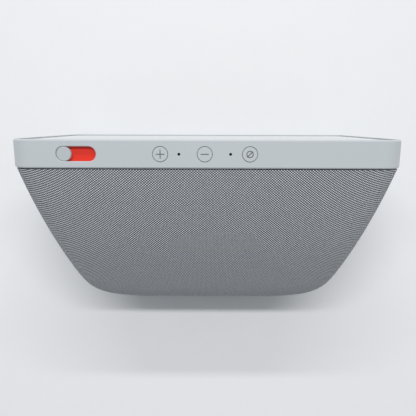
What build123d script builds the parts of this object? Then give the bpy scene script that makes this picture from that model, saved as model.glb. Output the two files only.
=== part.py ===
"""Small smart speaker with a screen: leaning plastic frame, fabric-covered body, top-edge controls, full-range driver inside."""

import os
from math import atan, cos, degrees, radians, sin, tan

from build123d import *

os.makedirs("parts", exist_ok=True)

# Overall size, mm
WIDTH = 147.0
TOP_Z = 82.0
FRONT_Y = -43.22
SCREEN_Z = 5.5          # bottom edge of the screen face above the table
LEAN = 20.0             # screen leans back, degrees

# Frame
BAND = 10.6             # frame depth, front to back
CORNER = 8.5
WALL = 3.0
TOP_WALL = 1.6
GLASS_T = 1.0
CHAMFER = 0.5

# Rear body
HALF = 73.3             # half width where the body leaves the frame
TAPER = 0.382           # width lost per side, per mm of depth
PLAN_W, PLAN_R, PLAN_END = 58.9, 19.4, 72.0
RIM = 8.0
BACK_R1, BACK_TURN1 = 95.1, 27.7
BACK_R2, BACK_R3 = 42.3, 10.5
BASE_Z = 2.5
FABRIC_IN, HOUSING_IN, LIP_IN, HOLLOW_IN = 0.35, 1.15, 2.0, 3.35

# Controls along the top edge, x positions
CTRL_W = 5.3            # distance of the row behind the screen face
PLUS_X, MINUS_X, MUTE_X = 17.15, 0.85, -15.7
MICS_X = (10.3, -8.6)
CAP_D, CAP_HOLE, CAP_GROOVE = 5.4, 5.56, 5.9
PRESS = 0.4
SLOT_X = (40.7, 55.35)
SLOT_H = 5.45
KNOB_D, KNOB_X = 5.4, 52.5
SHUTTER_TRAVEL = 8.9
CAMERA_X, CAMERA_S = 59.3, 74.5

# Display
PANEL = (130.0, 66.5)
PANEL_S = 37.8

# Screw places
MID_SCREWS = [(x, s) for x in (-67.4, 67.4) for s in (14.0, 40.0, 64.0)]
BASE_SCREWS = [(x, y) for x in (-35, 35) for y in (-17, 16)]
BASE_SIZE, BASE_R, BASE_Y = (90.0, 50.0), 14.0, 0.0

# Driver
DRIVER_D = 44.0
SPK_TILT = 45.0

ca, sa = cos(radians(LEAN)), sin(radians(LEAN))
FRAME_H = (TOP_Z - SCREEN_Z) / ca
MID_S = FRAME_H / 2


def at(s, w):
    """World (y, z) of a spot s up the screen and w behind its face."""
    return FRONT_Y + s * sa + w * ca, SCREEN_Z + s * ca - w * sa


def face_plane(w):
    """Plane parallel to the screen, w behind its face; sketch x is world x, sketch y is up the screen."""
    return Plane(origin=(0, *at(0, w)), x_dir=(1, 0, 0), z_dir=(0, -ca, sa))


def edge_plane(s):
    """Plane square to the screen, s up it; sketch y is depth behind the screen face."""
    return Plane(origin=(0, *at(s, 0)), x_dir=(1, 0, 0), z_dir=(0, sa, ca))


def save(name, solid):
    """Label a finished node and write its STEP file."""
    solid.label = name
    export_step(solid, "parts/" + name + ".step")


def slab(w0, w1, x0, x1, s0, s1, r=0.0):
    """Plate parallel to the screen between depths w0 and w1."""
    with BuildPart() as p:
        with BuildSketch(face_plane(w0)):
            with Locations(((x0 + x1) / 2, (s0 + s1) / 2)):
                if r:
                    RectangleRounded(x1 - x0, s1 - s0, r)
                else:
                    Rectangle(x1 - x0, s1 - s0)
        extrude(amount=-(w1 - w0))
    return p.part


def post(s0, s1, x, w, d):
    """Round post square to the top edge, between heights s0 and s1."""
    with BuildPart() as p:
        with BuildSketch(edge_plane(s0)):
            with Locations((x, w)):
                Circle(d / 2)
        extrude(amount=s1 - s0)
    return p.part


def pin(w0, w1, x, s, d):
    """Round pin square to the screen, between depths w0 and w1."""
    with BuildPart() as p:
        with BuildSketch(face_plane(w0)):
            with Locations((x, s)):
                Circle(d / 2)
        extrude(amount=-(w1 - w0))
    return p.part


def half_width(w):
    return HALF - TAPER * (w - BAND)


# centre of the shoulder arc in the side profile
steep = radians(LEAN + BACK_TURN1)
band_y, band_z = at(FRAME_H, BAND)
AXIS_Y = band_y - BACK_R1 * sa + (BACK_R1 - BACK_R2) * sin(steep)
AXIS_Z = band_z - BACK_R1 * ca + (BACK_R1 - BACK_R2) * cos(steep)
REAR_Y = AXIS_Y + BACK_R2


def body(inset, start):
    """Rear body form, taken in by inset, beginning start behind the screen face."""
    beta = degrees(atan(TAPER))
    with BuildPart() as p:
        with BuildSketch(Plane.YZ):
            with BuildLine():
                top = Line(at(FRAME_H, -30), at(FRAME_H, BAND))
                slope = JernArc(top @ 1, top % 1, BACK_R1, -BACK_TURN1)
                shoulder = JernArc(slope @ 1, slope % 1, BACK_R2, BACK_TURN1 + LEAN - 90)
                wall = Line(shoulder @ 1, ((shoulder @ 1).X, BASE_Z + BACK_R3))
                heel = JernArc(wall @ 1, (0, -1), BACK_R3, -90)
                floor = Line(heel @ 1, (-90, BASE_Z))
                Line(floor @ 1, top @ 0)
            make_face()
            offset(amount=-inset, mode=Mode.REPLACE)
        extrude(amount=95, both=True)
        with BuildSketch(edge_plane(FRAME_H)):
            with BuildLine():
                side = Line((half_width(-40), -40), (half_width(PLAN_W), PLAN_W))
                turn = JernArc(side @ 1, side % 1, PLAN_R, PLAN_END - beta)
                end = turn @ 1
                Line(end, (0, end.Y + end.X / tan(radians(PLAN_END))))
                mirror(about=Plane.YZ)
                Line((half_width(-40), -40), (-half_width(-40), -40))
            make_face()
            offset(amount=-inset, mode=Mode.REPLACE)
            with Locations((0, start + 100)):
                Rectangle(400, 200, mode=Mode.INTERSECT)
        extrude(amount=200, both=True, mode=Mode.INTERSECT)
        inward, upward = Vector(0, ca, -sa), Vector(0, sa, ca)
        foot = Vector(0, FRONT_Y, SCREEN_Z)

        def on_rim(e):
            if all(abs((q - foot).dot(inward) - start) < 1e-3 for q in (e @ 0, e @ 0.5, e @ 1)):
                return False
            d = e % 0.5
            return not (e.geom_type == GeomType.LINE and (abs(d.X) > 0.999 or abs(d.dot(upward)) > 0.999))

        fillet([e for e in p.edges() if on_rim(e)], radius=RIM - inset)
    return p.part


# ---------------------------------------------------------------- frame
with BuildPart() as frame:
    with BuildSketch(face_plane(0)):
        with Locations((0, MID_S)):
            RectangleRounded(WIDTH, FRAME_H, CORNER)
    extrude(amount=-BAND)
    chamfer(frame.faces().sort_by(Axis((0, 0, 0), (0, ca, -sa)))[0].edges(), CHAMFER)
    chamfer(frame.faces().sort_by(Axis((0, 0, 0), (0, ca, -sa)))[-1].edges(), CHAMFER)
    # glass pocket, window behind it, hollow behind that
    with BuildSketch(face_plane(0)):
        with Locations((0, MID_S)):
            RectangleRounded(WIDTH - 3.4, FRAME_H - 3.4, CORNER - 1.7)
    extrude(amount=-1.6, mode=Mode.SUBTRACT)
    with BuildSketch(face_plane(1.0)):
        with Locations((0, PANEL_S)):
            RectangleRounded(PANEL[0] + 4.6, PANEL[1] + 1.6, 1.0)
    extrude(amount=-6, mode=Mode.SUBTRACT)
    with BuildSketch(face_plane(3.0)):
        with Locations((0, (WALL + FRAME_H - TOP_WALL) / 2)):
            RectangleRounded(WIDTH - 2 * WALL, FRAME_H - TOP_WALL - WALL, 3.0)
    extrude(amount=-(BAND - 3.0 + 1), mode=Mode.SUBTRACT)
    # relief behind the glass ledge for the row of controls
    add(slab(2.2, 3.5, -27.0, 67.5, 76.4, FRAME_H - TOP_WALL), mode=Mode.SUBTRACT)
    # shutter window and light sensor window
    add(slab(1.0, 3.5, 45.0, 64.0, 70.0, FRAME_H - TOP_WALL), mode=Mode.SUBTRACT)
    add(slab(1.0, 3.5, 27.6, 32.4, 70.0, 75.4), mode=Mode.SUBTRACT)
    # screw bosses at both sides, posts under the top wall
    for x, s in MID_SCREWS:
        inner, outer = (x - 1.8, x + 3.2) if x > 0 else (x - 3.2, x + 1.8)
        add(slab(3.0, BAND, inner, outer, s - 3, s + 3))
        add(pin(4.0, BAND + 1, x, s, 2.0), mode=Mode.SUBTRACT)
    for x in (-22.8, 24.8):
        add(post(74.4, FRAME_H - TOP_WALL + 0.2, x, CTRL_W, 3.4))
        add(post(74.0, 78.4, x, CTRL_W, 1.4), mode=Mode.SUBTRACT)
    # openings in the top edge
    for x in (PLUS_X, MINUS_X, MUTE_X):
        add(post(FRAME_H - 3, FRAME_H + 1, x, CTRL_W, CAP_HOLE), mode=Mode.SUBTRACT)
        add(post(FRAME_H - 0.6, FRAME_H + 1, x, CTRL_W, CAP_GROOVE), mode=Mode.SUBTRACT)
    for x in MICS_X:
        add(post(FRAME_H - 3, FRAME_H + 1, x, CTRL_W, 1.1), mode=Mode.SUBTRACT)
    with BuildSketch(edge_plane(FRAME_H + 1)):
        with Locations((sum(SLOT_X) / 2, CTRL_W)):
            SlotOverall(SLOT_X[1] - SLOT_X[0], SLOT_H)
    extrude(amount=-4, mode=Mode.SUBTRACT)
    slot_rim = [w for w in frame.faces().sort_by(Axis((0, 0, 0), (0, sa, ca)))[-1].inner_wires() if w.length > 30]
    chamfer([e for w in slot_rim for e in w.edges()], 0.25)
save("bezel_frame", frame.part)

# ---------------------------------------------------------------- glass and display
with BuildPart() as glass:
    with BuildSketch(face_plane(0.3)):
        with Locations((0, MID_S)):
            RectangleRounded(WIDTH - 3.7, FRAME_H - 3.7, CORNER - 1.85)
    extrude(amount=-GLASS_T)
    chamfer(glass.faces().sort_by(Axis((0, 0, 0), (0, ca, -sa)))[0].edges(), 0.2)
save("cover_glass", glass.part)

with BuildPart() as tape:
    with BuildSketch(face_plane(0.3 + GLASS_T)):
        with Locations((0, MID_S)):
            RectangleRounded(WIDTH - 4.4, FRAME_H - 4.4, CORNER - 2.2)
        with Locations((0, PANEL_S)):
            RectangleRounded(PANEL[0] + 4.6, PANEL[1] + 1.6, 1.0, mode=Mode.SUBTRACT)
        with Locations((54.5, 75.2)):
            Rectangle(19.0, 9.2, mode=Mode.SUBTRACT)
        with Locations((30, 74.2)):
            Rectangle(4.8, 4.0, mode=Mode.SUBTRACT)
    extrude(amount=-0.3)
save("glass_tape", tape.part)

hp, sp = PANEL[0] / 2, PANEL[1] / 2
save("display_panel", slab(1.3, 2.9, -hp, hp, PANEL_S - sp, PANEL_S + sp))
save("backlight", slab(2.9, 4.9, -hp + 0.4, hp - 0.4, PANEL_S - sp + 0.4, PANEL_S + sp - 0.4))
with BuildPart() as bracket:
    add(slab(4.9, 5.5, -hp - 0.4, hp + 0.4, PANEL_S - sp, PANEL_S + sp, 1.0))
    for x in (-40, -20, 20, 40):
        add(slab(4.5, 6, x - 7, x + 7, PANEL_S - 20, PANEL_S + 20, 2.0), mode=Mode.SUBTRACT)
    for x in (-50, 50):
        add(slab(5.5, BAND, x - 4, x + 4, 12, 20, 1.0))
        add(slab(5.5, BAND, x - 4, x + 4, 56, 64, 1.0))
save("display_bracket", bracket.part)
save("display_flex", slab(5.5, 14.2, -8, 8, 24.0, 24.2))

# ---------------------------------------------------------------- camera and light sensor
with BuildPart() as camera:
    add(slab(3.2, 6.4, CAMERA_X - 3.2, CAMERA_X + 3.2, CAMERA_S - 3.2, CAMERA_S + 3.2, 0.5))
    add(pin(2.4, 3.2, CAMERA_X, CAMERA_S, 5.0))
    add(pin(2.3, 2.8, CAMERA_X, CAMERA_S, 3.0), mode=Mode.SUBTRACT)
save("camera_module", camera.part)
save("camera_lens", pin(2.45, 2.8, CAMERA_X, CAMERA_S, 3.0))
with BuildPart() as camera_flex:
    add(slab(6.4, 14.2, CAMERA_X - 2.5, CAMERA_X + 2.5, 71.6, 71.8))
    add(slab(14.0, 14.2, 32.0, CAMERA_X + 2.5, 68.8, 71.8))
save("camera_flex", camera_flex.part)
save("light_sensor", slab(2.0, 3.4, 28.6, 31.4, 73.2, 75.0))

# ---------------------------------------------------------------- control board
BOARD_S = 73.4
UNDER = FRAME_H - TOP_WALL
with BuildPart() as control_board:
    with BuildSketch(edge_plane(BOARD_S)):
        with Locations((4.2, 6.0)):
            RectangleRounded(57.6, 5.2, 0.6)
        with Locations((-22.8, CTRL_W), (24.8, CTRL_W)):
            Circle(0.7, mode=Mode.SUBTRACT)
    extrude(amount=1.0)
save("control_board", control_board.part)
with BuildPart() as switches:
    for x in (PLUS_X, MINUS_X, MUTE_X):
        with BuildSketch(edge_plane(BOARD_S + 1.0)):
            with Locations((x, CTRL_W)):
                Rectangle(4.2, 4.2)
        extrude(amount=1.3)
        add(post(BOARD_S + 2.3, BOARD_S + 2.8, x, CTRL_W, 2.0))
save("tact_switches", switches.part)
with BuildPart() as mics:
    for x in MICS_X:
        with BuildSketch(edge_plane(BOARD_S + 1.0)):
            with Locations((x, CTRL_W)):
                Rectangle(2.8, 3.6)
        extrude(amount=1.0)
        add(post(BOARD_S + 1.6, BOARD_S + 2.2, x, CTRL_W, 0.5), mode=Mode.SUBTRACT)
save("microphones", mics.part)
with BuildPart() as seals:
    for x in MICS_X:
        add(post(BOARD_S + 2.0, UNDER, x, CTRL_W, 3.2))
        add(post(BOARD_S + 1.9, UNDER + 1, x, CTRL_W, 1.1), mode=Mode.SUBTRACT)
save("microphone_seals", seals.part)
with BuildPart() as control_screws:
    for x in (-22.8, 24.8):
        add(post(BOARD_S, 77.8, x, CTRL_W, 1.4))
        add(post(BOARD_S - 0.9, BOARD_S, x, CTRL_W, 2.8))
save("control_screws", control_screws.part)


def button(name, x):
    """Round cap with a keeper flange and a stem standing just off its switch."""
    with BuildPart() as p:
        add(post(UNDER - 0.9, FRAME_H, x, CTRL_W, CAP_D))
        chamfer(p.faces().sort_by(Axis((0, 0, 0), (0, sa, ca)))[-1].edges(), 0.1)
        with BuildSketch(edge_plane(UNDER - 0.9)):
            with Locations((x, CTRL_W)):
                RectangleRounded(7.6, 3.6, 0.5)
        extrude(amount=0.9)
        add(post(BOARD_S + 2.8 + PRESS + 0.02, UNDER - 0.9, x, CTRL_W, 2.4))
    save(name, p.part)


button("volume_up_button", PLUS_X)
button("volume_down_button", MINUS_X)
button("mic_mute_button", MUTE_X)

# ---------------------------------------------------------------- camera shutter
SLIDE_LO, SLIDE_HI = 78.75, 79.7
with BuildPart() as guide:
    for x0, x1, w0, w1, top in ((29.0, 66.0, 2.8, 9.4, 78.7), (29.0, 66.0, 8.1, 9.4, UNDER), (29.0, 30.2, 2.8, 9.4, UNDER)):
        with BuildSketch(edge_plane(78.0)):
            with Locations(((x0 + x1) / 2, (w0 + w1) / 2)):
                Rectangle(x1 - x0, w1 - w0)
        extrude(amount=top - 78.0)
save("shutter_guide", guide.part)


def carriage_plate(x0, x1):
    with BuildPart() as p:
        with BuildSketch(edge_plane(SLIDE_LO)):
            with Locations(((x0 + x1) / 2, CTRL_W)):
                Rectangle(x1 - x0, 5.5)
        extrude(amount=SLIDE_HI - SLIDE_LO)
    return p.part


RED_X = (39.6, 52.4)
save("red_flag", carriage_plate(*RED_X))
with BuildPart() as carriage:
    add(carriage_plate(RED_X[1], 64.8))
    with BuildSketch(edge_plane(SLIDE_LO)):
        with Locations((CAMERA_X, 2.2)):
            Rectangle(7.0, 1.0)
    extrude(amount=SLIDE_HI - SLIDE_LO)
save("shutter_carriage", carriage.part)
save("shutter_blade", slab(1.7, 2.1, CAMERA_X - 3.5, CAMERA_X + 3.5, 71.6, SLIDE_LO))
with BuildPart() as knob:
    add(post(SLIDE_HI, FRAME_H - 0.15, KNOB_X, CTRL_W, KNOB_D))
    fillet(knob.faces().sort_by(Axis((0, 0, 0), (0, sa, ca)))[-1].edges(), 0.3)
save("shutter_knob", knob.part)

# ---------------------------------------------------------------- mid frame and boards
MID_W = (BAND, 11.8)
with BuildPart() as mid:
    add(slab(MID_W[0], MID_W[1], -69.2, 69.2, 5.5, 76.0, 5.0))
    add(slab(9, 13, -10, 10, 21.5, 26.5, 1.0), mode=Mode.SUBTRACT)
    add(slab(9, 13, CAMERA_X - 4, CAMERA_X + 4, 69.5, 74.0, 1.0), mode=Mode.SUBTRACT)
    for x, s in MID_SCREWS:
        add(pin(9, 13, x, s, 2.4), mode=Mode.SUBTRACT)
    for x in (-42, 36):
        for s in (28, 66):
            add(pin(MID_W[1], 15.4, x, s, 4.6))
            add(pin(12.4, 16, x, s, 1.6), mode=Mode.SUBTRACT)
save("mid_frame", mid.part)
with BuildPart() as mid_screws:
    for x, s in MID_SCREWS:
        add(pin(4.6, MID_W[1], x, s, 2.0))
        add(pin(MID_W[1], MID_W[1] + 0.9, x, s, 3.0))
save("mid_screws", mid_screws.part)
with BuildPart() as main_board:
    add(slab(15.4, 16.6, -46, 40, 22, 72, 2.0))
    for x in (-42, 36):
        for s in (28, 66):
            add(pin(14, 18, x, s, 2.0), mode=Mode.SUBTRACT)
save("main_board", main_board.part)
with BuildPart() as board_screws:
    for x in (-42, 36):
        for s in (28, 66):
            add(pin(12.6, 16.6, x, s, 1.6))
            add(pin(16.6, 17.4, x, s, 3.2))
save("board_screws", board_screws.part)
save("shield_can", slab(13.6, 15.4, -24, 10, 36, 64, 1.0))
save("thermal_pad", slab(11.8, 13.6, -20, 6, 40, 60))
with BuildPart() as sockets:
    add(slab(14.2, 15.4, -9, 9, 22.4, 25.8))
    add(slab(14.2, 15.4, 27.0, 35.0, 68.6, 71.8))
    add(slab(16.6, 20.0, -38, -30, 24, 29))
    add(slab(16.6, 20.0, 20, 28, 24, 29))
save("board_sockets", sockets.part)

# ---------------------------------------------------------------- rear housing and fabric
DRIVER_R = 31.6
spk_y = AXIS_Y + DRIVER_R * cos(radians(SPK_TILT))
spk_z = AXIS_Z + DRIVER_R * sin(radians(SPK_TILT))


def speaker_plane(d):
    """Plane square to the driver's axis, d in front of its flange; sketch y runs down the back."""
    c, s = cos(radians(SPK_TILT)), sin(radians(SPK_TILT))
    return Plane(origin=(0, spk_y + d * c, spk_z + d * s), x_dir=(1, 0, 0), z_dir=(0, c, s))


def turned(d0, d1, r, x=0.0, y=0.0):
    """Round part on the driver's axis between d0 and d1."""
    with BuildPart() as p:
        with BuildSketch(speaker_plane(d0)):
            with Locations((x, y)):
                Circle(r)
        extrude(amount=d1 - d0)
    return p.part


PORT_Z, PORT_W, PORT_H = 15.0, 24.0, 10.0
with BuildPart() as port_cut:
    with BuildSketch(Plane(origin=(0, REAR_Y - 7.5, PORT_Z), x_dir=(-1, 0, 0), z_dir=(0, 1, 0))):
        RectangleRounded(PORT_W, PORT_H, 4.0)
    extrude(amount=12)
with BuildPart() as base_cut:
    with BuildSketch(Plane.XY):
        with Locations((0, BASE_Y)):
            RectangleRounded(BASE_SIZE[0] + 0.4, BASE_SIZE[1] + 0.4, BASE_R + 0.2)
    extrude(amount=HOUSING_IN + BASE_Z)

hollow = body(HOLLOW_IN, 5.0)
lip_form = body(LIP_IN, BAND)
with BuildPart() as fabric:
    add(body(FABRIC_IN, 11.0))
    add(body(HOUSING_IN, 11.8), mode=Mode.SUBTRACT)
    add(lip_form, mode=Mode.SUBTRACT)
    add(port_cut.part, mode=Mode.SUBTRACT)
    add(base_cut.part, mode=Mode.SUBTRACT)
save("fabric_cover", fabric.part)

with BuildPart() as housing:
    add(body(HOUSING_IN, 11.8))
    add(lip_form)
    add(hollow, mode=Mode.SUBTRACT)
    add(port_cut.part, mode=Mode.SUBTRACT)
    with BuildSketch(speaker_plane(-2)):
        with HexLocations(radius=1.9, x_count=9, y_count=9):
            Circle(1.1)
        Circle(18.5, mode=Mode.INTERSECT)
    extrude(amount=14, mode=Mode.SUBTRACT)
    for x, y in BASE_SCREWS:
        with Locations((x, y, BASE_Z + 5)):
            Cylinder(3.0, 4.0)
            Cylinder(1.0, 12.0, mode=Mode.SUBTRACT)
save("rear_housing", housing.part)

# ---------------------------------------------------------------- base
with BuildPart() as base:
    with BuildSketch(Plane.XY.offset(1.3)):
        with Locations((0, BASE_Y)):
            RectangleRounded(*BASE_SIZE, BASE_R)
    extrude(amount=HOUSING_IN + BASE_Z - 1.3)
    chamfer(base.faces().sort_by(Axis.Z)[0].edges(), 0.4)
    with BuildSketch(Plane.XY.offset(1.3)):
        with Locations((0, BASE_Y)):
            RectangleRounded(BASE_SIZE[0] - 6, BASE_SIZE[1] - 6, BASE_R - 3)
    extrude(amount=0.9, mode=Mode.SUBTRACT)
    for x, y in BASE_SCREWS:
        with Locations((x, y, 1.0)):
            Cylinder(1.2, 4, align=(Align.CENTER, Align.CENTER, Align.MIN), mode=Mode.SUBTRACT)
            Cylinder(2.2, 1.9, align=(Align.CENTER, Align.CENTER, Align.MIN), mode=Mode.SUBTRACT)
save("base_cover", base.part)
with BuildPart() as foot:
    with BuildSketch(Plane.XY):
        with Locations((0, BASE_Y)):
            RectangleRounded(BASE_SIZE[0] - 6.6, BASE_SIZE[1] - 6.6, BASE_R - 3.3)
    extrude(amount=2.2)
    chamfer(foot.faces().sort_by(Axis.Z)[0].edges(), 0.3)
    with BuildSketch(Plane.XY):
        with Locations((0, BASE_Y)):
            RectangleRounded(BASE_SIZE[0] - 24, BASE_SIZE[1] - 24, 6)
    extrude(amount=1.0, mode=Mode.SUBTRACT)
save("foot_pad", foot.part)
with BuildPart() as base_screws:
    for x, y in BASE_SCREWS:
        with Locations((x, y, 2.3)):
            Cylinder(2.0, 0.6, align=(Align.CENTER, Align.CENTER, Align.MIN))
        with Locations((x, y, 2.9)):
            Cylinder(1.0, 5.6, align=(Align.CENTER, Align.CENTER, Align.MIN))
save("base_screws", base_screws.part)

# ---------------------------------------------------------------- speaker
BOX = (52.0, 46.0)


def box_form(depth, d0, inset):
    with BuildPart() as p:
        with BuildSketch(speaker_plane(d0)):
            with Locations((0, 0.5)):
                RectangleRounded(BOX[0] - 2 * inset, BOX[1] - 2 * inset, 6 - inset)
        extrude(amount=depth)
    return p.part


with BuildPart() as box:
    add(box_form(18, -20, 0))
    for x in (-20, 20):
        with Locations((x, 24, HOLLOW_IN + BASE_Z)):
            Cylinder(3.0, 14.0, align=(Align.CENTER, Align.CENTER, Align.MIN))
    add(box_form(14, -18, 2), mode=Mode.SUBTRACT)
    add(turned(-6, 0, 19.6), mode=Mode.SUBTRACT)
save("speaker_box", box.part)
with BuildPart() as basket:
    add(turned(-2, 0, 22.0))
    add(turned(-10.5, -2, 19.4))
    add(turned(-9.3, 1, 17.6), mode=Mode.SUBTRACT)
    add(turned(-13, -8, 8.0), mode=Mode.SUBTRACT)
    for x in (-15, 15):
        for y in (-15, 15):
            add(turned(-3, 1, 0.9, x, y), mode=Mode.SUBTRACT)
save("speaker_basket", basket.part)
with BuildPart() as magnet:
    add(turned(-17.5, -10.5, 14.5))
    add(turned(-15.5, -10.5, 6.9), mode=Mode.SUBTRACT)
    add(turned(-15.5, -9.5, 5.6))
save("speaker_magnet", magnet.part)
with BuildPart() as coil:
    add(turned(-13.5, -6.2, 6.4))
    add(turned(-14.5, -6.0, 6.1), mode=Mode.SUBTRACT)
save("voice_coil", coil.part)
with BuildPart() as cone:
    with BuildSketch(speaker_plane(-1.6)):
        Circle(14.6)
    with BuildSketch(speaker_plane(-6.2)):
        Circle(6.4)
    loft()
    with BuildPart(mode=Mode.SUBTRACT):
        with BuildSketch(speaker_plane(-1.2)):
            Circle(14.6)
        with BuildSketch(speaker_plane(-5.8)):
            Circle(6.4)
        loft()
    add(turned(-7, 1, 5.0), mode=Mode.SUBTRACT)
save("speaker_cone", cone.part)
with BuildPart() as surround:
    add(turned(-1.2, 0, 17.6))
    add(turned(-1.6, 1, 14.6), mode=Mode.SUBTRACT)
save("speaker_surround", surround.part)
with BuildPart() as cap:
    add(turned(-5.8, -4.6, 6.4))
    add(turned(-5.9, -5.0, 5.0), mode=Mode.SUBTRACT)
save("dust_cap", cap.part)
with BuildPart() as speaker_gasket:
    add(turned(0, 1.0, 20.8))
    add(turned(-0.5, 2, 19.0), mode=Mode.SUBTRACT)
save("speaker_gasket", speaker_gasket.part)

# ---------------------------------------------------------------- power
with BuildPart() as port_panel:
    with BuildSketch(Plane(origin=(0, REAR_Y - 4.3, PORT_Z), x_dir=(-1, 0, 0), z_dir=(0, 1, 0))):
        RectangleRounded(PORT_W - 0.2, PORT_H - 0.2, 3.9)
    extrude(amount=3.3)
    with Locations(Location((0, REAR_Y, PORT_Z), (90, 0, 0))):
        Cylinder(3.2, 20, mode=Mode.SUBTRACT)
save("port_panel", port_panel.part)
with BuildPart() as jack:
    with Locations((0, REAR_Y - 9.3, PORT_Z - 0.4)):
        Box(9.0, 10.0, 8.8)
    with Locations(Location((0, REAR_Y - 8.3, PORT_Z), (90, 0, 0))):
        Cylinder(2.8, 9.6, mode=Mode.SUBTRACT)
save("dc_jack", jack.part)
with BuildPart() as jack_pin:
    with Locations(Location((0, REAR_Y - 11.3, PORT_Z), (90, 0, 0))):
        Cylinder(1.0, 3.6)
save("jack_pin", jack_pin.part)

# ---------------------------------------------------------------- leads and aerials


def lead(points, r):
    """Round wire through a row of points."""
    with BuildPart() as p:
        with BuildLine() as path:
            Spline(*points)
        with BuildSketch(Plane(origin=path.line @ 0, z_dir=path.line % 0)):
            Circle(r)
        sweep()
    return p.part


socket_y, socket_z = at(26.5, 20.8)
box_y, box_z = spk_y - 20.8 * cos(radians(SPK_TILT)), spk_z - 20.8 * sin(radians(SPK_TILT))
with BuildPart() as speaker_lead:
    add(lead([(14, box_y, box_z), (18, box_y - 6, box_z - 3.5), (24, socket_y, socket_z)], 0.7))
    add(turned(-20.8, -20.0, 2.0, 14.0, 0.0))
    add(pin(20.0, 20.9, 24, 26.5, 3.0))
save("speaker_lead", speaker_lead.part)
with BuildPart() as power_lead:
    add(lead([(0, REAR_Y - 15.1, 12.5), (-9, 18, 9.0), (-29, 0, 13.0), (-34, socket_y, socket_z)], 0.9))
    with Locations((0, REAR_Y - 14.7, 12.5)):
        Box(3, 0.8, 2.6)
    add(pin(20.0, 20.9, -34, 26.5, 3.0))
save("power_lead", power_lead.part)

with BuildPart() as aerials:
    beta = atan(TAPER)
    for side in (-1, 1):
        out = Vector(side * cos(beta), sin(beta) * ca, -sin(beta) * sa)
        spot = Vector(side * half_width(26), *at(46, 26)) - out * HOLLOW_IN
        with BuildSketch(Plane(origin=spot, x_dir=(0, sa, ca), z_dir=-out)):
            RectangleRounded(26, 9, 1)
        extrude(amount=0.3)
save("aerials", aerials.part)
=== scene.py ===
from math import cos, pi, radians, sin

import bmesh
import bpy
from mathutils import Matrix, Vector


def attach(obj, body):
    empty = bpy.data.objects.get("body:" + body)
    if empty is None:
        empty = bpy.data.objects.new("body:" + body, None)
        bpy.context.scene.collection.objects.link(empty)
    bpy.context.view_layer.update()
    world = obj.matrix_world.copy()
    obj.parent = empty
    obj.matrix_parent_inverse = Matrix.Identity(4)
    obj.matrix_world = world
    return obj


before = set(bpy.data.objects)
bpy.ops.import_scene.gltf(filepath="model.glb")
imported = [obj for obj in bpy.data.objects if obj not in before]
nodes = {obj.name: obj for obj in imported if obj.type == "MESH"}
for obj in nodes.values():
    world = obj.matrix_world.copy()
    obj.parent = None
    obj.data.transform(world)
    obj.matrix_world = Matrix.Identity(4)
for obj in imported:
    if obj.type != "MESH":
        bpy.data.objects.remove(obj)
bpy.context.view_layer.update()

# ---------------------------------------------------------------- shared dimensions, metres
# s runs up the leaning screen face, w runs back from it, x is across
MM = 0.001
LEAN = radians(20.0)
CA, SA = cos(LEAN), sin(LEAN)
FRONT_Y, SCREEN_Z, TOP_Z = -43.22 * MM, 5.5 * MM, 82.0 * MM
FRAME_H = (TOP_Z - SCREEN_Z) / CA
# depth of the frame, half width of the body behind it and how fast that narrows
BAND, HALF, TAPER = 10.6 * MM, 73.3 * MM, 0.382
# the back's two arcs, and the angle from upright at which one meets the other
R1, R2, TURN = 95.1 * MM, 42.3 * MM, radians(47.7)
# how far behind the screen face the keys' centres lie, and where they are across
CTRL_W = 5.3 * MM
PLUS_X, MINUS_X, MUTE_X = 17.15 * MM, 0.85 * MM, -15.7 * MM
# picture area of the screen, and the spots behind the glass
PICTURE_X, PICTURE_S, PICTURE_MID, TRIM = 62.5 * MM, 31.25 * MM, 37.8 * MM, 0.6 * MM
LENS_X, LENS_S, LENS_R = 59.3 * MM, 74.5 * MM, 2.3 * MM
EYE_X, EYE_S, EYE_R = 30.0 * MM, 74.1 * MM, 0.9 * MM
# width and height of one loop of the knit, and how far its rows climb at the sides
LOOP_W, LOOP_H, CLIMB = 1.07 * MM, 0.95 * MM, 0.2
# printed signs on the keys
LINE, PRINT_LIFT, PRINT_THICK = 0.34 * MM, 0.004 * MM, 0.03 * MM
PLUS_SIZE, MINUS_SIZE, RING_R, SLASH_SIZE = 3.3 * MM, 3.0 * MM, 1.15 * MM, 3.0 * MM


def at(s, w):
    """Y and Z of a spot s up the screen face and w behind it."""
    return FRONT_Y + s * SA + w * CA, SCREEN_Z + s * CA - w * SA


band_y, band_z = at(FRAME_H, BAND)
C1 = (band_y - R1 * SA, band_z - R1 * CA)
C2 = (C1[0] + (R1 - R2) * sin(TURN), C1[1] + (R1 - R2) * cos(TURN))


def top_edge(x, w):
    """A spot on the frame's top edge, w behind the screen face."""
    return Vector((x, *at(FRAME_H, w)))


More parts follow.
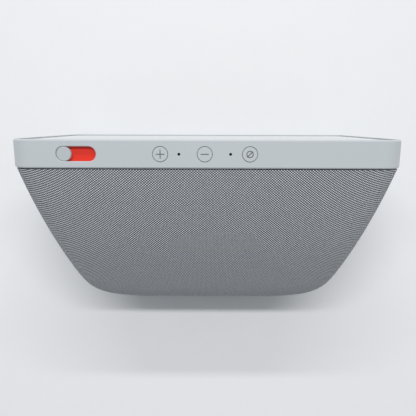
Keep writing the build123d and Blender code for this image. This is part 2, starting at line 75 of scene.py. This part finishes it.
# ---------------------------------------------------------------- node maths
class Num:
    """A shader value that arithmetic on it turns into Math nodes."""

    def __init__(self, tree, sock):
        self.t, self.s = tree, sock

    def op(self, kind, *others):
        n = self.t.nodes.new("ShaderNodeMath")
        n.operation = kind
        for i, v in enumerate((self,) + others):
            if isinstance(v, Num):
                self.t.links.new(v.s, n.inputs[i])
            else:
                n.inputs[i].default_value = v
        return Num(self.t, n.outputs[0])

    def __add__(self, o):
        return self.op("ADD", o)

    def __radd__(self, o):
        return self.op("ADD", o)

    def __sub__(self, o):
        return self.op("SUBTRACT", o)

    def __rsub__(self, o):
        return (self * -1.0) + o

    def __mul__(self, o):
        return self.op("MULTIPLY", o)

    def __rmul__(self, o):
        return self.op("MULTIPLY", o)

    def __truediv__(self, o):
        return self.op("DIVIDE", o)

    def __pow__(self, o):
        return self.op("POWER", o)

    def sin(self):
        return self.op("SINE")

    def abs(self):
        return self.op("ABSOLUTE")

    def min(self, o):
        return self.op("MINIMUM", o)

    def max(self, o):
        return self.op("MAXIMUM", o)

    def less(self, o):
        return self.op("LESS_THAN", o)

    def floor(self):
        return self.op("FLOOR")

    def clamp(self):
        return self.max(0.0).min(1.0)


def mix_num(a, b, f):
    """a where f is 0, b where it is 1."""
    return a * (1.0 - f) + b * f


def srgb(r, g, b):
    """Linear RGBA of a display colour given in 0 to 255."""
    def linear(v):
        v /= 255.0
        return v / 12.92 if v <= 0.04045 else ((v + 0.055) / 1.055) ** 2.4
    return (linear(r), linear(g), linear(b), 1.0)


def new_material(name):
    m = bpy.data.materials.new(name)
    m.use_nodes = True
    t = m.node_tree
    return m, t, t.nodes["Principled BSDF"]


def position(t):
    """The shaded spot as a vector socket, and its x, y and z."""
    coord = t.nodes.new("ShaderNodeTexCoord").outputs["Object"]
    split = t.nodes.new("ShaderNodeSeparateXYZ")
    t.links.new(coord, split.inputs[0])
    x, y, z = (Num(t, out) for out in split.outputs)
    return coord, x, y, z


def noise(t, vec, scale, detail=2.0, rough=0.5):
    n = t.nodes.new("ShaderNodeTexNoise")
    n.inputs["Scale"].default_value = scale
    n.inputs["Detail"].default_value = detail
    n.inputs["Roughness"].default_value = rough
    t.links.new(vec, n.inputs["Vector"])
    return Num(t, n.outputs["Fac"])


def mix_color(t, f, a, b):
    """Colour a where f is 0, b where it is 1; each is a colour or a socket."""
    n = t.nodes.new("ShaderNodeMix")
    n.data_type = "RGBA"
    t.links.new(f.s, n.inputs["Factor"])
    for key, v in (("A", a), ("B", b)):
        if isinstance(v, bpy.types.NodeSocket):
            t.links.new(v, n.inputs[key])
        else:
            n.inputs[key].default_value = v
    return n.outputs["Result"]


def bump(t, bsdf, height, distance, strength=1.0):
    """Surface relief of the given height on the material."""
    relief = t.nodes.new("ShaderNodeBump")
    relief.inputs["Distance"].default_value = distance
    relief.inputs["Strength"].default_value = strength
    t.links.new(height.s, relief.inputs["Height"])
    t.links.new(relief.outputs[0], bsdf.inputs["Normal"])


def plastic(name, c0, c1, rough=0.45, grain=2600.0, depth=0.02 * MM, metal=0.0, wear=0.06):
    """Material of an even kind: mottled from c0 to c1, with a fine grain (grain cycles a metre, depth
    deep) and a gloss that varies by wear about rough."""
    m, t, b = new_material(name)
    vec, x, y, z = position(t)
    broad = noise(t, vec, 60.0, 3.0)
    fine = noise(t, vec, grain, 2.0, 0.6)
    t.links.new(mix_color(t, (broad * 0.6 + fine * 0.4).clamp(), c0, c1), b.inputs["Base Color"])
    t.links.new((fine * wear * 2 + (rough - wear)).s, b.inputs["Roughness"])
    b.inputs["Metallic"].default_value = metal
    bump(t, b, fine, depth)
    return m


# ---------------------------------------------------------------- materials
frame_plastic = plastic("frame_plastic", srgb(198, 204, 208), srgb(206, 212, 215), 0.42, 3200.0, 0.012 * MM)
knob_plastic = plastic("knob_plastic", srgb(186, 192, 196), srgb(204, 210, 213), 0.5, 1900.0, 0.06 * MM)
print_grey = plastic("print_grey", srgb(98, 102, 106), srgb(108, 112, 116), 0.5)
red_plastic = plastic("red_plastic", srgb(238, 42, 20), srgb(246, 52, 28), 0.5, 1500.0)
dark_plastic = plastic("dark_plastic", srgb(18, 19, 20), srgb(28, 29, 31), 0.5)
housing_plastic = plastic("housing_plastic", srgb(70, 72, 74), srgb(80, 82, 84), 0.55)
base_plastic = plastic("base_plastic", srgb(168, 173, 176), srgb(178, 183, 186), 0.5)
rubber = plastic("rubber", srgb(86, 88, 90), srgb(98, 100, 102), 0.75, 1400.0, 0.05 * MM)
seal_rubber = plastic("seal_rubber", srgb(24, 24, 25), srgb(34, 34, 35), 0.7)
steel = plastic("steel", srgb(168, 168, 166), srgb(190, 190, 188), 0.3, 900.0, 0.01 * MM, 1.0)
copper = plastic("copper", srgb(170, 92, 44), srgb(196, 112, 60), 0.3, 5000.0, 0.03 * MM, 1.0)
magnet_black = plastic("magnet_black", srgb(40, 40, 42), srgb(56, 56, 58), 0.45, 700.0, 0.03 * MM, 0.4)
board_green = plastic("board_green", srgb(14, 58, 36), srgb(22, 78, 48), 0.35, 800.0, 0.03 * MM)
flex_amber = plastic("flex_amber", srgb(150, 92, 26), srgb(176, 112, 38), 0.35, 600.0)
paper = plastic("paper", srgb(26, 26, 28), srgb(44, 44, 46), 0.85, 1100.0, 0.1 * MM)
panel_black = plastic("panel_black", srgb(8, 8, 10), srgb(13, 13, 16), 0.2, 400.0, 0.005 * MM)
pad_grey = plastic("pad_grey", srgb(120, 140, 160), srgb(136, 156, 174), 0.8, 500.0, 0.05 * MM)
lens_glass = plastic("lens_glass", srgb(10, 12, 22), srgb(22, 16, 40), 0.05, 300.0, 0.001 * MM)


def spot(x, s, mid_x, mid_s, r):
    """1 inside a disc on the screen face, 0 outside it."""
    across, up = x - mid_x, s - mid_s
    return (across * across + up * up).less(r ** 2)


def screen_glass():
    """Cover glass: pale printed border, dark picture area, smudge-level gloss changes."""
    m, t, b = new_material("screen_glass")
    vec, x, y, z = position(t)
    s = (y - FRONT_Y) * SA + (z - SCREEN_Z) * CA
    outside = (x.abs() - PICTURE_X).max((s - PICTURE_MID).abs() - PICTURE_S)
    picture = outside.less(0.0)
    trim = outside.less(TRIM)
    lens = spot(x, s, LENS_X, LENS_S, LENS_R)
    eye = spot(x, s, EYE_X, EYE_S, EYE_R)
    smudge = noise(t, vec, 90.0, 4.0)
    border = mix_color(t, smudge, srgb(206, 211, 214), srgb(212, 216, 219))
    c = mix_color(t, trim, border, srgb(30, 31, 33))
    c = mix_color(t, picture, c, srgb(9, 10, 12))
    c = mix_color(t, lens.max(eye), c, srgb(8, 8, 12))
    t.links.new(c, b.inputs["Base Color"])
    t.links.new((smudge * 0.05 + 0.03).s, b.inputs["Roughness"])
    b.inputs["Coat Weight"].default_value = 0.6
    b.inputs["Coat Roughness"].default_value = 0.03
    bump(t, b, smudge, 0.002 * MM)
    return m


def knit():
    """Knitted sleeve: light loops on a diagonal lattice over dark gaps, each a little different."""
    m, t, b = new_material("knit")
    vec, x, y, z = position(t)
    # distance down the back from the frame, by the angle around each arc's centre
    dy, dz = y - C1[0], z - C1[1]
    th1 = dy.op("ARCTAN2", dz)
    r1 = (dy * dy + dz * dz) ** 0.5
    ey, ez = y - C2[0], z - C2[1]
    th2 = ey.op("ARCTAN2", ez)
    r2 = (ey * ey + ez * ez) ** 0.5
    past = th1.op("GREATER_THAN", TURN)
    v_back = th1.min(TURN) * R1 + (th2.min(pi / 2) - TURN).max(0.0) * R2 + (C2[1] - z).max(0.0)
    depth = mix_num(R1 - r1, R2 - r2, past)
    # side walls are mapped in their own plane
    w = (y - FRONT_Y) * CA - (z - SCREEN_Z) * SA
    s = (y - FRONT_Y) * SA + (z - SCREEN_Z) * CA
    half = (HALF + TAPER * BAND) - w * TAPER
    side = (half - x.abs()).less(depth)
    # the rows of loops climb at both sides
    climb = half * ((x.abs() / half).min(1.0) ** 4.0) * CLIMB
    u = mix_num(x, s, side) / LOOP_W
    v = mix_num(v_back + climb, w, side) / LOOP_H
    # the yarn wanders by up to a quarter of a loop
    wander = noise(t, vec, 45.0, 1.0)
    u = u + wander * 0.25
    v = v + wander * 0.2
    p, q = u + v, u - v
    sp, sq = (p * pi).sin().abs(), (q * pi).sin().abs()
    # a raised loop in the middle of every diamond of the lattice, with flat gaps between
    loop = (sp * sq * 1.5 - 0.22).clamp()
    # each loop has a shade of its own, and fibres show in all of them
    cell = t.nodes.new("ShaderNodeTexWhiteNoise")
    cell.noise_dimensions = "2D"
    comb = t.nodes.new("ShaderNodeCombineXYZ")
    t.links.new(p.floor().s, comb.inputs[0])
    t.links.new(q.floor().s, comb.inputs[1])
    t.links.new(comb.outputs[0], cell.inputs["Vector"])
    tone = Num(t, cell.outputs["Value"])
    fibre = noise(t, vec, 5200.0, 3.0, 0.7)
    bright = (loop * (0.92 + 0.16 * tone) + (fibre - 0.5) * 0.12).clamp()
    t.links.new(mix_color(t, bright, srgb(34, 37, 41), srgb(232, 237, 242)), b.inputs["Base Color"])
    b.inputs["Roughness"].default_value = 0.9
    b.inputs["Sheen Weight"].default_value = 0.25
    b.inputs["Sheen Roughness"].default_value = 0.5
    b.inputs["Specular IOR Level"].default_value = 0.2
    bump(t, b, loop + fibre * 0.25, 0.22 * MM, 0.9)
    return m


wearers = (
    (frame_plastic, "bezel_frame volume_up_button volume_down_button mic_mute_button shutter_carriage"),
    (knob_plastic, "shutter_knob"),
    (red_plastic, "red_flag"),
    (screen_glass(), "cover_glass"),
    (knit(), "fabric_cover"),
    (housing_plastic, "rear_housing speaker_box"),
    (base_plastic, "base_cover backlight port_panel board_sockets"),
    (rubber, "foot_pad"),
    (seal_rubber, "microphone_seals speaker_gasket speaker_surround glass_tape speaker_lead power_lead"),
    (panel_black, "display_panel"),
    (lens_glass, "camera_lens light_sensor"),
    (dark_plastic, "camera_module shutter_blade shutter_guide dc_jack"),
    (board_green, "control_board main_board"),
    (flex_amber, "aerials display_flex camera_flex"),
    (paper, "speaker_cone dust_cap"),
    (copper, "voice_coil"),
    (magnet_black, "speaker_magnet"),
    (pad_grey, "thermal_pad"),
)
look_of = {name: look for look, names in wearers for name in names.split()}
for name, obj in nodes.items():
    obj.data.materials.clear()
    obj.data.materials.append(look_of.get(name, steel))

# ---------------------------------------------------------------- printed marks on the keys
UP = Vector((0, SA, CA))
BACK = Vector((0, CA, -SA))
ACROSS = Vector((1, 0, 0))


def mark(name, body, x, faces):
    """Thin raised print on a key; each face is its corners in (across, back) from the key's centre."""
    bm = bmesh.new()
    base = top_edge(x, CTRL_W)
    for face in faces:
        vs = [bm.verts.new(base + ACROSS * a + BACK * d + UP * PRINT_LIFT) for a, d in face]
        grown = bmesh.ops.extrude_face_region(bm, geom=[bm.faces.new(vs)])["geom"]
        tops = [g for g in grown if isinstance(g, bmesh.types.BMVert)]
        bmesh.ops.translate(bm, vec=UP * PRINT_THICK, verts=tops)
    bmesh.ops.recalc_face_normals(bm, faces=bm.faces)
    me = bpy.data.meshes.new(name)
    bm.to_mesh(me)
    bm.free()
    o = bpy.data.objects.new(name, me)
    bpy.context.scene.collection.objects.link(o)
    me.materials.append(print_grey)
    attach(o, body)
    return o


def bar(length, turn=0.0):
    """Bar with round ends about the centre, one line wide."""
    steps = 6
    pts = []
    for end in (1, -1):
        for k in range(steps + 1):
            a = -pi / 2 + pi * k / steps
            px = end * ((length - LINE) / 2 + cos(a) * LINE / 2)
            py = end * sin(a) * LINE / 2
            pts.append((px * cos(turn) - py * sin(turn), px * sin(turn) + py * cos(turn)))
    return pts


def ring(radius, steps=40):
    """Circle one line wide, as a closed row of four-cornered faces."""
    faces = []
    for k in range(steps):
        a0, a1 = 2 * pi * k / steps, 2 * pi * (k + 1) / steps
        inner, outer = radius - LINE / 2, radius + LINE / 2
        corners = ((a0, inner), (a0, outer), (a1, outer), (a1, inner))
        faces.append([(cos(a) * r, sin(a) * r) for a, r in corners])
    return faces


mark("plus_mark", "volume_up", PLUS_X, [bar(PLUS_SIZE), bar(PLUS_SIZE, pi / 2)])
mark("minus_mark", "volume_down", MINUS_X, [bar(MINUS_SIZE)])
mark("mute_mark", "mic_mute", MUTE_X, ring(RING_R) + [bar(SLASH_SIZE, radians(45))])

# ---------------------------------------------------------------- floor, light, camera
FLOOR_HALF = 1.6
FLOOR_Z = -0.05 * MM    # a little under the foot, so the two faces never share a plane
me = bpy.data.meshes.new("floor")
corners = [(FLOOR_HALF * a, FLOOR_HALF * b, FLOOR_Z) for a, b in ((-1, -1), (1, -1), (1, 1), (-1, 1))]
me.from_pydata(corners, [], [(0, 1, 2, 3)])
floor = bpy.data.objects.new("floor", me)
bpy.context.scene.collection.objects.link(floor)
me.materials.append(plastic("table", srgb(236, 237, 239), srgb(240, 241, 242), 0.55, 400.0, 0.01 * MM))


def strip_light(name, place, depth, power):
    """Lamp wide in X and narrow across, aimed just behind the middle: soft shadow ends, crisp edges."""
    lamp = bpy.data.lights.new(name, "AREA")
    lamp.shape = "RECTANGLE"
    lamp.size, lamp.size_y = 1.1, depth
    lamp.energy = power
    o = bpy.data.objects.new(name, lamp)
    bpy.context.scene.collection.objects.link(o)
    o.location = place
    aim = Vector((0, 0.03, 0)) - Vector(place)
    o.rotation_euler = aim.to_track_quat("-Z", "Y").to_euler()


strip_light("overhead", (0.0, -0.27, 1.1), 0.07, 6.0)
strip_light("front", (0.0, -0.95, 1.05), 0.06, 5.2)
world = bpy.data.worlds.new("world")
bpy.context.scene.world = world
world.use_nodes = True
sky = world.node_tree.nodes["Background"]
sky.inputs["Color"].default_value = (0.94, 0.97, 1.0, 1.0)
sky.inputs["Strength"].default_value = 0.38

CAMERA_AT = Vector((-0.588, 32.61, 228.61)) * MM
SENSOR_MM, LENS_MM = 36.0, 36.346154
cam_data = bpy.data.cameras.new("camera")
cam_data.sensor_width, cam_data.lens = SENSOR_MM, LENS_MM
cam_data.clip_start = 10 * MM
camera = bpy.data.objects.new("camera", cam_data)
bpy.context.scene.collection.objects.link(camera)
# it looks down from above the back, with -X to the right in the picture
pitch, roll, pan = radians(8.879), radians(0.174), radians(-0.07)
axis = Vector((0, -sin(pitch), -cos(pitch)))
down = Vector((0, cos(pitch), -sin(pitch)))
right = Vector((-1, 0, 0))
axis, right = axis * cos(pan) + right * sin(pan), right * cos(pan) - axis * sin(pan)
right, down = right * cos(roll) - down * sin(roll), right * sin(roll) + down * cos(roll)
pose = Matrix((right, -down, -axis)).transposed().to_4x4()
pose.translation = CAMERA_AT
camera.matrix_world = pose
bpy.context.scene.camera = camera
bpy.context.scene.view_settings.view_transform = "Standard"
